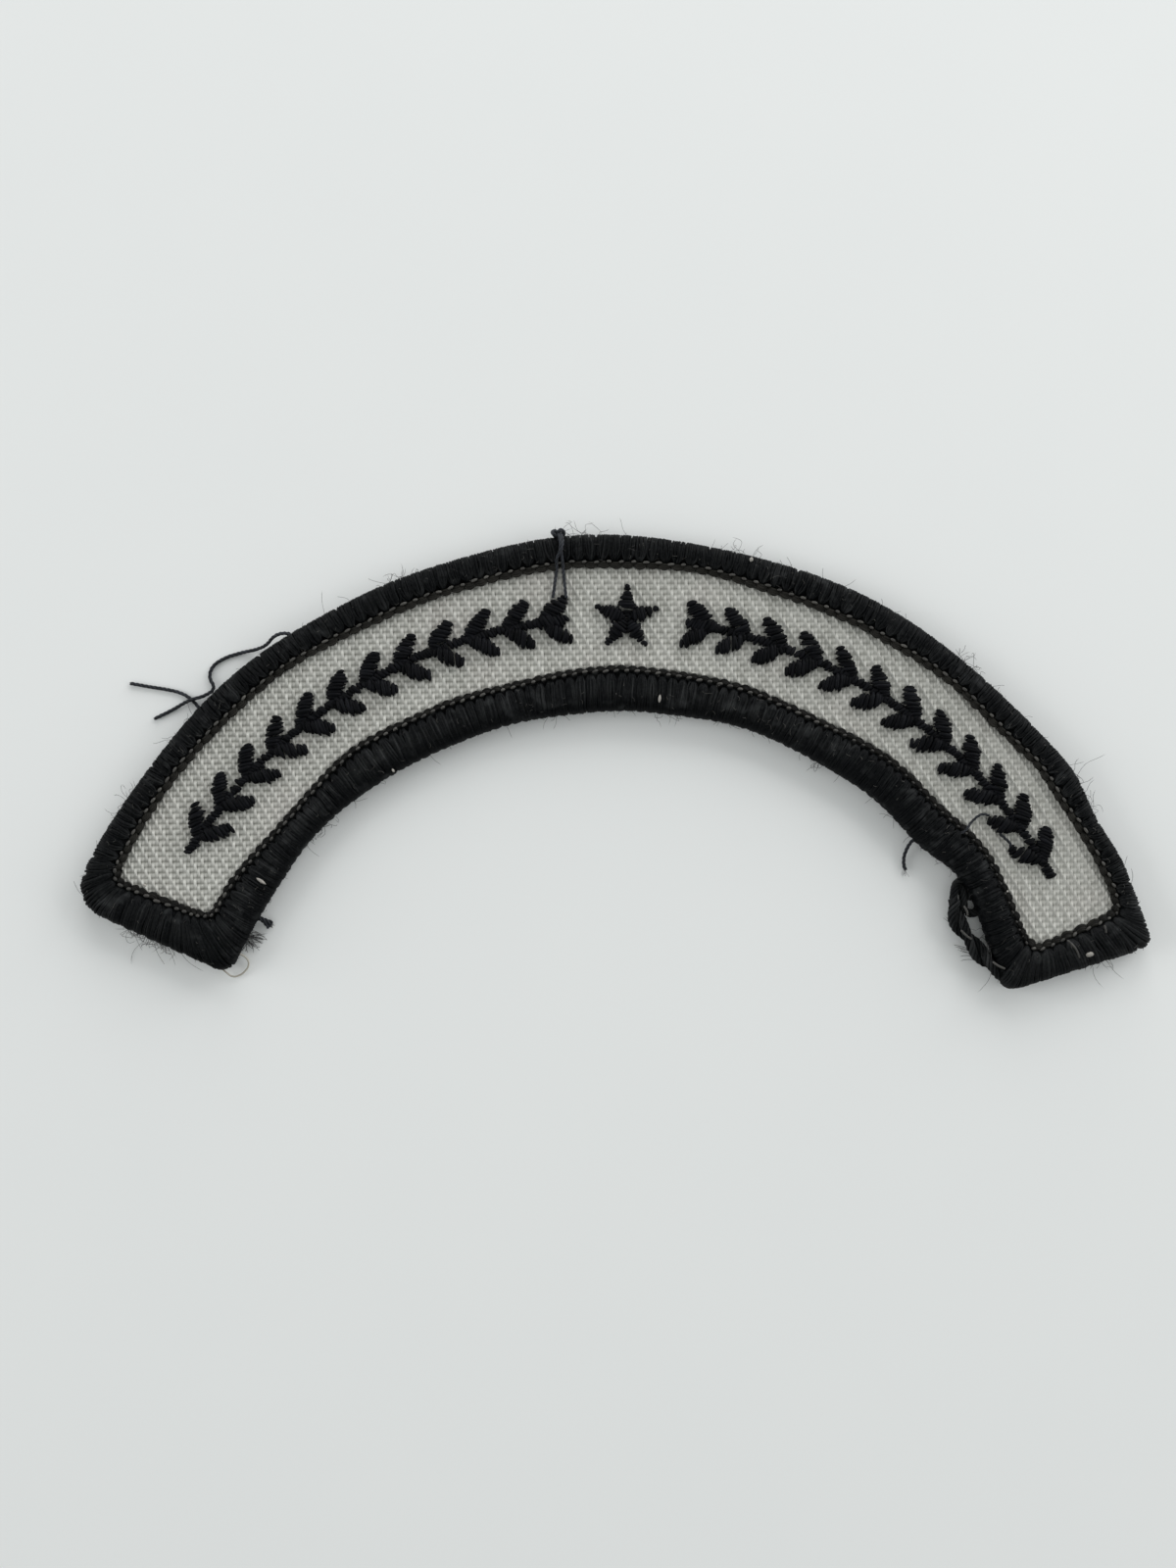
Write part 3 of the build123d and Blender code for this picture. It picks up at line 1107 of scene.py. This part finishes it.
# %% [markdown]
# The star could be filled with straight lines from side to side, but a machine stitches it ray
# by ray, and the light then falls differently on each. So each ray starts at nothing in the
# middle, widens to the star's waist and narrows to its point.

# %% The star
star_points = 5
star_radius = 3.3 * mm
star_waist = 1.45 * mm
ray_start = 0.25 * mm
star_centre = arc_centre + np.array([0, middle_radius])


def ray_stitches(angle):
    """One ray of the star, as its stitches' middles, ways and halves."""
    way = np.array([sin(angle), cos(angle)])
    beside = np.array([way[1], -way[0]])
    along = np.arange(ray_start, star_radius, satin_pitch)
    waist_along = star_waist * cos(pi / star_points)
    waist_half = star_waist * sin(pi / star_points)
    widening = waist_half * along / waist_along
    narrowing = waist_half * (star_radius - along) / (star_radius - waist_along)
    halves = np.where(along < waist_along, widening, narrowing)
    return star_centre + along[:, None] * way, np.tile(beside, (len(along), 1)), halves


star_rays = [ray_stitches(2 * pi * ray / star_points) for ray in range(star_points)]
star_paths = satin(*joined(star_rays))
star_mesh = roll_threads("star_satin", star_paths, satin_thickness, upright, swell=satin_swell)
keep("star_satin", star_mesh, motif_material, ["star_motif"])

# %% [markdown]
# What is left are single threads. Each is laid along a smooth line through a few chosen
# points, which is how a thread falls when it is dropped. The plies of a twisted thread are
# then wound round that line.


# %% Laying a thread
def route(points, stations):
    """A smooth line through a thread's few points, in millimetres, as stations points."""
    spline_data = bpy.data.curves.new("route", "CURVE")
    spline_data.dimensions = "3D"
    spline = spline_data.splines.new("BEZIER")
    spline.bezier_points.add(len(points) - 1)
    for point, place in zip(spline.bezier_points, points):
        point.co = [part * mm for part in place]
        point.handle_left_type = point.handle_right_type = "AUTO"
    carrier = bpy.data.objects.new("route", spline_data)
    line_mesh = bpy.data.meshes.new_from_object(carrier)
    line = np.array([vertex.co for vertex in line_mesh.vertices])
    bpy.data.objects.remove(carrier)
    return points_at(line, np.linspace(0, walked_along(line)[-1], stations))


def plies(line, number, wind, lay_length, jitter=0.0):
    """The paths of number plies wound round a line, wind from it, one turn in lay_length."""
    along = unit(np.gradient(line, axis=0))
    side = unit(np.cross(upright, along))
    rise = np.cross(along, side)
    walked = walked_along(line)
    made = []
    for ply in range(number):
        turn = 2 * pi * (walked / lay_length + ply / number)
        off = wind * (side * np.cos(turn)[:, None] + rise * np.sin(turn)[:, None])
        made.append(line + off + rng.normal(0, jitter, line.shape))
    return np.array(made)


def soft_yarn(line, wind, lay_length):
    """One soft yarn along a line: six filaments wound round a seventh."""
    round_it = plies(line, 6, wind, lay_length, 0.012 * mm)
    return np.concatenate([round_it, line[None]])


print("a soft yarn is seven filaments")

# %% [markdown]
# At the lower right corner the border's yarn runs off in a short twisted chain, pressed
# beside the border, and ends in a small knot. Two soft yarns wind round each other for the
# chain. The knot can't be seen well enough to be tied, so four short yarns follow its outline.

# %% The twisted tail
tail_points = [
    (37.4, -19.6, 0.95), (36.0, -18.75, 0.95), (35.3, -18.15, 0.95), (34.5, -17.1, 0.95),
    (33.35, -15.7, 0.95), (32.75, -14.7, 0.95), (32.45, -13.8, 1.0), (32.35, -12.5, 1.0),
]
knot_routes = [
    [
        (32.5, -14.1, 0.9), (32.25, -13.0, 1.2), (32.3, -11.9, 1.2), (32.6, -11.1, 0.9),
        (33.2, -10.7, 0.7),
    ],
    [
        (33.2, -10.8, 0.6), (33.9, -11.5, 0.6), (34.5, -12.5, 0.5), (34.8, -13.4, 0.5),
        (34.4, -13.9, 0.5), (33.6, -13.8, 0.6),
    ],
    [(32.9, -11.1, 0.8), (33.15, -12.1, 1.0), (33.25, -13.1, 1.0), (33.35, -13.9, 0.8)],
    [(33.4, -10.8, 0.7), (33.65, -11.3, 0.8), (33.85, -11.9, 0.8), (34.0, -12.6, 0.7)],
]
tail_filament = 0.29 * mm
tail_stations = 48
tail_paths = []
tail_line = route(tail_points, tail_stations)
for ply in plies(tail_line, 2, wind=0.42 * mm, lay_length=7.0 * mm):
    tail_paths.append(soft_yarn(ply, wind=0.33 * mm, lay_length=3.4 * mm))
for points in knot_routes:
    knot_yarn = route(points, tail_stations)
    tail_paths.append(soft_yarn(knot_yarn, wind=0.27 * mm, lay_length=2.8 * mm))
tail_paths = np.concatenate(tail_paths)
tail_shades = rng.beta(1.3, 2.4, (len(tail_paths), 1))
tail_mesh = roll_threads("tail_chain", tail_paths, tail_filament, upright, shades=tail_shades)
keep("tail_chain", tail_mesh, border_material, ["edge_tail"])

# %% [markdown]
# Ends of embroidery thread were never trimmed: two lie on the table on the left, one pair
# hangs from a knot over the crown, and short ones stick out on the hollow side. No rule says
# how a thread falls, so a few points are listed for each. An entry is a thickness and the
# points that the thread passes, in millimetres.

# %% Where the loose threads run
loose_threads = [
    # Off the crown side on the left, and over the table.
    (0.18, [
        (-31.5, 10.9, 2.0), (-32.5, 10.9, 1.9), (-33.2, 10.6, 1.7), (-34.0, 9.9, 1.2),
        (-35.0, 9.5, 0.6), (-36.7, 9.1, 0.2), (-38.3, 8.5, 0.2), (-39.4, 7.6, 0.2),
        (-39.6, 6.7, 0.2), (-39.2, 5.6, 0.3), (-39.8, 5.0, 0.45), (-41.4, 4.4, 0.45),
        (-43.2, 3.4, 0.2), (-44.9, 2.5, 0.2),
    ]),
    (0.17, [
        (-39.4, 2.4, 1.0), (-40.3, 3.4, 0.4), (-41.0, 4.2, 0.15), (-41.6, 4.7, 0.15),
        (-42.4, 5.1, 0.15), (-43.8, 5.4, 0.15), (-45.3, 5.6, 0.15), (-47.3, 5.9, 0.2),
    ]),
    # The pair that hangs from the knot over the crown.
    (0.16, [
        (-6.4, 21.1, 1.9), (-6.2, 20.4, 2.75), (-6.2, 19.4, 2.75), (-6.5, 18.6, 2.3),
        (-6.5, 17.7, 1.85), (-6.6, 16.7, 1.8), (-6.7, 15.7, 1.8), (-6.8, 15.0, 1.75),
    ]),
    (0.16, [
        (-6.2, 21.2, 1.7), (-6.0, 20.3, 2.7), (-6.1, 19.3, 2.8), (-6.0, 18.7, 2.3),
        (-5.9, 18.0, 1.95), (-5.8, 17.2, 1.8), (-5.7, 16.4, 1.85), (-5.5, 15.0, 2.0),
    ]),
    # The end that hangs off the hollow side on the right.
    (0.17, [
        (29.2, -6.2, 1.2), (28.5, -6.8, 1.0), (27.8, -7.9, 0.6), (27.6, -9.4, 0.3),
        (27.8, -10.0, 0.3),
    ]),
    # Two thick short ends at the left limb.
    (0.24, [
        (-35.1, -16.0, 0.9), (-34.4, -16.2, 0.7), (-33.8, -16.45, 0.5), (-33.3, -16.65, 0.4),
        (-32.9, -16.8, 0.3),
    ]),
    (0.22, [
        (-33.9, -16.4, 0.5), (-33.55, -16.75, 0.4), (-33.35, -17.0, 0.35), (-33.2, -17.2, 0.3),
    ]),
    # Thin ones on the twill, beside the right-hand branch.
    (0.13, [
        (32.2, -6.4, 1.9), (32.9, -6.0, 2.0), (33.7, -5.0, 1.9), (34.6, -4.4, 1.8),
        (35.3, -4.5, 1.7),
    ]),
    (0.14, [(36.3, -6.2, 1.7), (36.9, -6.7, 1.8), (37.3, -7.1, 1.8), (37.4, -7.6, 1.7)]),
]
print("loose threads to lay:", len(loose_threads))

# %% [markdown]
# The knot over the crown is the simplest real one, an overhand knot. Its closed form has a
# formula of sines, so its line crosses over and under by itself. Three plies wind round every
# line here, which gives each thread its fine twist.

# %% Loose threads
loose_stations = 90
knot_size = 0.19 * mm
knot_thickness = 0.19
knot_place = np.array([-6.45, 21.05, 1.7]) * mm
knot = np.linspace(0, 2 * pi, loose_stations)
knot_line = np.stack(
    [
        np.sin(knot) + 2 * np.sin(2 * knot),
        np.cos(knot) - 2 * np.cos(2 * knot),
        1.6 * -np.sin(3 * knot),
    ],
    -1,
)
knot_line = knot_line * knot_size + knot_place
loose_lines = [route(points, loose_stations) for _, points in loose_threads] + [knot_line]
loose_thickness = [thick for thick, _ in loose_threads] + [knot_thickness]
loose_thickness = np.array(loose_thickness) * mm
loose_paths = np.concatenate(
    [
        plies(line, 3, wind=0.55 * thick, lay_length=1.3 * mm, jitter=0.003 * mm)
        for line, thick in zip(loose_lines, loose_thickness)
    ]
)
loose_mesh = roll_threads("loose_threads", loose_paths, np.repeat(loose_thickness, 3), upright)
keep("loose_threads", loose_mesh, loose_material)

# %% [markdown]
# A thin clear thread peeps out as a small loop at the lower left corner. Glass-like shading
# would ask for light paths that the rest has no use for. At this size the thread reads as a
# pale line, so it is a plain one with little roughness.

# %% The clear thread's end
nylon = Finish("clear_nylon", Roughness=0.3, Base_Color=(0.36, 0.34, 0.29, 1))
nylon_points = [
    (-36.5, -19.3, 0.9), (-35.9, -19.75, 0.7), (-35.35, -20.1, 0.5), (-35.05, -20.7, 0.4),
    (-35.35, -21.4, 0.3), (-36.0, -21.9, 0.3), (-36.6, -22.0, 0.3), (-37.2, -21.6, 0.4),
    (-37.8, -21.0, 0.6),
]
nylon_mesh = roll_threads("nylon_loop", route(nylon_points, 40)[None], 0.17 * mm, upright)
keep("nylon_loop", nylon_mesh, nylon.finish_with())

# %% [markdown]
# Fine fibres stand off the border all round. A hair system would grow them by itself, but it
# isn't a mesh and couldn't be exported, so each fibre is a thin thread from a root on the
# border's flank to a tip in the air. The places below are in millimetres.

# %% Fibres round the border
hair_stations = 9
flat_spread = (1, 1, 0.3)


def hairs(roots, tips, curl):
    """Thin fibres from roots to tips, arrays of points in millimetres, bent by curl."""
    way = np.linspace(0, 1, hair_stations).reshape(1, -1, 1)
    roots, tips = np.asarray(roots, float)[:, None], np.asarray(tips, float)[:, None]
    bend = rng.normal(0, curl, (len(roots), 1, 3)) * flat_spread
    wave = rng.normal(0, curl * 0.4, (len(roots), 1, 3)) * flat_spread
    lines = roots + (tips - roots) * way
    lines = lines + bend * np.sin(pi * way) + wave * np.sin(2 * pi * way)
    lines[..., 2] = np.maximum(lines[..., 2], 0.05)
    return lines * mm


def edge_hairs(number, first, last, reach, curl):
    """Fibres that start on the border's flank between two stitch counts."""
    stitch = rng.uniform(first, last, number)
    length = rng.gamma(2.0, reach / 2, number) * mm / ring_width(stitch)
    roots = on_ring(stitch, np.full(number, 0.97), rng.uniform(0.4, 1.9, number) * mm)
    stitch = stitch + rng.normal(0, 0.8, number)
    tips = on_ring(stitch, 1 + length, rng.uniform(0.1, 1.9, number) * mm)
    return hairs(roots / mm, tips / mm, curl)


fibres = [edge_hairs(170, 0, stitches, reach=0.5, curl=0.12)]
print("fibres round the border:", len(fibres[0]))

# %% [markdown]
# They stand closer in a few tufts, where the border was rubbed. Chance alone would never put
# them there, so each tuft is listed with its place, its number of fibres and their reach.

# %% Tufts along the border
tufts = [
    (-21.8, 17.4, 12, 0.8), (-4.1, 21.2, 14, 0.9), (10.8, 19.7, 12, 1.2), (33.5, 11.0, 12, 0.8),
    (45.0, -2.0, 14, 0.8), (35.0, -17.5, 16, 1.1), (-44.8, -18.4, 60, 0.7), (47.0, -19.0, 8, 1.0),
    (-28.5, -8.0, 10, 0.8), (4.0, 5.0, 8, 0.8), (-47.5, -5.5, 10, 0.9),
]
tuft_half = 1.6


def stitch_at(x, y):
    """The stitch count nearest to a place."""
    return count[np.argmin(np.linalg.norm(edge_line - np.array([x, y]) * mm, axis=1))]


for x, y, number, reach in tufts:
    middle = stitch_at(x, y)
    fibres.append(edge_hairs(number, middle - tuft_half, middle + tuft_half, reach, curl=0.4))
print("fibres in tufts:", sum(len(group) for group in fibres[1:]))

# %% [markdown]
# Cut ends open into brushes of thicker strands: one at the left limb, in two bundles, one at
# each of the short ends beside it, and a row of strands off the tail. They are made as the
# fine fibres are, and are counted, so that they can be made thicker afterwards.

# %% Frayed ends
frayed_first = sum(len(group) for group in fibres)
brush_strands = 38
brush_ways = (radians(-16), radians(-80))
first_bundle = 0.6


def beside(points, right, up):
    """Points that lie to the right of others and up the picture from them."""
    return [(x + dx, y + dy, z) for (x, y, z), dx, dy in zip(points, right, up)]


brush_roots = [
    (-35.1 - 0.3 * share, -17.6 - 0.8 * share, 0.6) for share in rng.uniform(0, 1, brush_strands)
]
brush_turns = np.where(rng.uniform(0, 1, brush_strands) < first_bundle, *brush_ways)
brush_turns = brush_turns + rng.normal(0, 0.24, brush_strands)
brush_tips = [
    (-35.2 + length * cos(turn), -18.0 + length * sin(turn), 0.15)
    for length, turn in zip(rng.uniform(1.0, 1.9, brush_strands), brush_turns)
]
fibres.append(hairs(brush_roots, brush_tips, curl=0.14))
end_places = [(-33.0, -16.75)] * 5 + [(-33.25, -17.1)] * 5
end_roots = [(x, y, 0.3) for x, y in end_places]
end_tips = [(x, y, 0.2) for x, y in end_places]
end_tips = beside(end_tips, rng.uniform(0.05, 0.45, 10), rng.uniform(-0.4, 0.05, 10))
fibres.append(hairs(end_roots, end_tips, curl=0.04))
down_the_tail = np.linspace(0, 1, 9)[:, None]
tail_roots = np.array([34.3, -17.4, 0.8]) + down_the_tail * np.array([0.9, -1.2, 0.0])
tail_tips = tail_roots + np.array([-1.5, 0.5, -0.5]) + rng.normal(0, 0.3, (9, 3)) * flat_spread
fibres.append(hairs(tail_roots, tail_tips, curl=0.12))
frayed_last = sum(len(group) for group in fibres)
print("frayed strands:", frayed_last - frayed_first)

# %% [markdown]
# The last fibres are a tangle on the hollow side, whiskers at the tail and at the left end,
# and the split tips of the loose threads. Each kind could be a piece of its own, but they
# share one finish and one way of being made, so all fibres together make one piece.

# %% A tangle, whiskers and split tips
hair_thickness = 0.037 * mm
frayed_thickness = 0.055 * mm

tangle = np.array([19.4, 0.1, 0.4]) + rng.normal(0, 0.4, (2, 14, 3)) * (1.2, 0.6, 0.4)
fibres.append(hairs(tangle[0], tangle[1], curl=0.45))
tail_whiskers = [(31.5, -14.4, 0.3), (31.7, -14.3, 0.3)]
fibres.append(hairs([(33.0, -15.3, 0.9)] * 2, tail_whiskers, curl=0.1))
whisker_roots = [(-45.2, -18.3, 0.4), (-44.2, -18.7, 0.4)]
whisker_tips = [(-46.4, -21.2, 0.1), (-43.2, -21.1, 0.1)]
fibres.append(hairs(whisker_roots, whisker_tips, curl=0.3))
split_roots = [(-6.8, 15.3, 1.75)] * 4 + [(-5.5, 15.2, 1.95)] * 6 + [(27.75, -9.8, 0.3)] * 6
split_tips = beside(split_roots, rng.normal(0, 0.3, 16), rng.uniform(-1.1, -0.5, 16))
fibres.append(hairs(split_roots, split_tips, curl=0.08))

fibre_paths = np.concatenate(fibres)
fibre_thickness = np.full(len(fibre_paths), hair_thickness)
fibre_thickness[frayed_first:frayed_last] = frayed_thickness
hair_flank = (0, 0.02, 1)
fibre_mesh = roll_threads("stray_fibres", fibre_paths, fibre_thickness, hair_flank, sides=3)
keep("stray_fibres", fibre_mesh, hair_material)

# %% [markdown]
# Dark yarn shows every speck. Short pale fibres of lint lie scattered on the bead, just
# above the stitches. As real fibres they catch the light, which painted specks wouldn't.

# %% Lint
lint_number = 330
lint_thickness = 0.034 * mm
lint_rise = 0.17 * mm
lint_stitch = rng.uniform(0, stitches, lint_number)
lint_share = rng.uniform(0.18, 0.92, lint_number)
lint_width = ring_width(lint_stitch)
lint_height = bead_height(lint_share * lint_width, lint_width) + lint_rise
lint_roots = on_ring(lint_stitch, lint_share, lint_height) / mm
lint_tips = lint_roots + rng.normal(0, 0.28, (lint_number, 3)) * (1, 1, 0.1)
lint_paths = hairs(lint_roots, lint_tips, curl=0.08)
lint_mesh = roll_threads("lint", lint_paths, lint_thickness, hair_flank, sides=3)
keep("lint", lint_mesh, needle_material)

# %% [markdown]
# In seven places the stitches part and pale cloth shows through. Cutting the stitches open
# would take a long time for spots of half a millimetre, so each is a short swollen thread on
# top of them. Each entry is a place, a width and a length, all in millimetres.

# %% Bare spots
bare_spots = [
    (11.9, 19.1, 0.35, 0.5), (3.6, 5.7, 0.28, 0.8), (-21.4, -1.8, 0.22, 0.4),
    (-33.6, -12.6, 0.3, 1.1), (45.0, -17.3, 0.62, 1.0), (-44.6, -13.3, 0.25, 0.4),
    (37.0, -11.6, 0.2, 0.25),
]
spot_level = 2.46 * mm
spot_steps = 9
spot_paths = []
for x, y, wide, long in bare_spots:
    place = np.array([x, y]) * mm
    out = unit(place - arc_centre)
    offsets = np.linspace(-0.5, 0.5, spot_steps)[:, None] * long * mm * out
    level = np.full((spot_steps, 1), spot_level - 0.18 * wide * mm)
    spot_paths.append(np.hstack([place + offsets, level]))
spot_thickness = np.array([wide * mm for _, _, wide, _ in bare_spots])
spot_swell = np.sin(pi * np.linspace(0, 1, spot_steps)) ** 0.6
spot_shades = np.full(len(bare_spots), 0.8)
spot_mesh = roll_threads(
    "bare_spots", np.array(spot_paths), spot_thickness, upright, 6, spot_swell, spot_shades
)
spot_material = black_yarn("bare_cloth", (0.12, 0.115, 0.105), (0.34, 0.325, 0.30), 0.8, 0.1)
keep("bare_spots", spot_mesh, spot_material)

# %% [markdown]
# Five short ends of the grey needle thread lie across the border at the right. They could be
# more dashes of that thread, but they don't keep to its row. So they are plain threads in its
# own material. Each entry is a shade and the points that the end passes.

# %% Ends of the needle thread
needle_ends = [
    (0.3, [(35.8, -18.3, 2.2), (36.4, -18.7, 2.45), (37.0, -18.95, 2.4)]),
    (0.3, [(32.8, -15.4, 1.9), (33.3, -15.9, 2.0), (33.9, -16.3, 1.9)]),
    (0.15, [(42.7, -16.0, 2.5), (43.5, -16.8, 2.6), (44.0, -17.8, 2.45)]),
    (0.2, [(46.2, -14.5, 2.5), (46.3, -14.9, 2.6), (46.4, -15.3, 2.5)]),
    (0.3, [(33.0, -13.1, 2.0), (33.3, -13.6, 2.1), (33.4, -14.1, 2.0)]),
]
needle_lines = np.array([route(points, 16) for _, points in needle_ends])
needle_shades = [shade for shade, _ in needle_ends]
needle_mesh = roll_threads(
    "needle_ends", needle_lines, 0.2 * mm, upright, shades=needle_shades
)
keep("needle_ends", needle_mesh, needle_material)

# %% [markdown]
# The patch lies on a plain pale table. It only sets the stage, so it is one large face with
# faint clouds in its colour, and unlike the pieces it doesn't ride on the patch's body.

# %% The table
table_half = 0.8
net = bmesh.new()
bmesh.ops.create_grid(net, x_segments=1, y_segments=1, size=table_half)
table_mesh = take_mesh(net, "table_top")
table_top = bpy.data.objects.new("table_top", table_mesh)
bpy.context.scene.collection.objects.link(table_top)
tabletop = Finish("pale_table", Roughness=0.6, Specular_IOR_Level=0.2)
table_colour = tabletop.blend(tabletop.cloud(60) * 0.5, (0.80, 0.815, 0.81), (0.77, 0.79, 0.79))
table_mesh.materials.append(tabletop.finish_with(Base_Color=table_colour))
print("the table is", round(table_top.dimensions.x, 2), "m wide")

# %% [markdown]
# Daylight comes from a wide soft source beyond the crown and from the room all round. One
# lamp would cast one hard shadow, and a plain bright world would cast none. Four large soft
# lamps stand low round the table, but none on the hollow's side, so the patch throws a soft
# shadow into its hollow.

# %% The light
room = bpy.data.worlds.new("room")
room.use_nodes = True
background = room.node_tree.nodes["Background"]
background.inputs["Color"].default_value = (0.97, 1.0, 0.99, 1)
background.inputs["Strength"].default_value = 0.42
bpy.context.scene.world = room

lamp_size = 0.45
lamp_level = 0.232


def soft_light(light_name, x, y, power):
    """A square soft light, aimed at the patch."""
    place = Vector((x, y, lamp_level))
    lamp = bpy.data.lights.new(light_name, "AREA")
    lamp.size = lamp_size
    lamp.energy = power
    holder = bpy.data.objects.new(light_name, lamp)
    holder.location = place
    holder.visible_camera = False
    holder.rotation_euler = (-place).to_track_quat("-Z", "Y").to_euler()
    bpy.context.scene.collection.objects.link(holder)
    print("lit by", light_name, "with", power, "W")


soft_light("window", 0.0, 0.713, 2.65)
soft_light("side_window", 0.504, 0.504, 3.1)
soft_light("left_wall", -0.713, 0.0, 2.9)
soft_light("right_wall", 0.713, 0.0, 1.65)
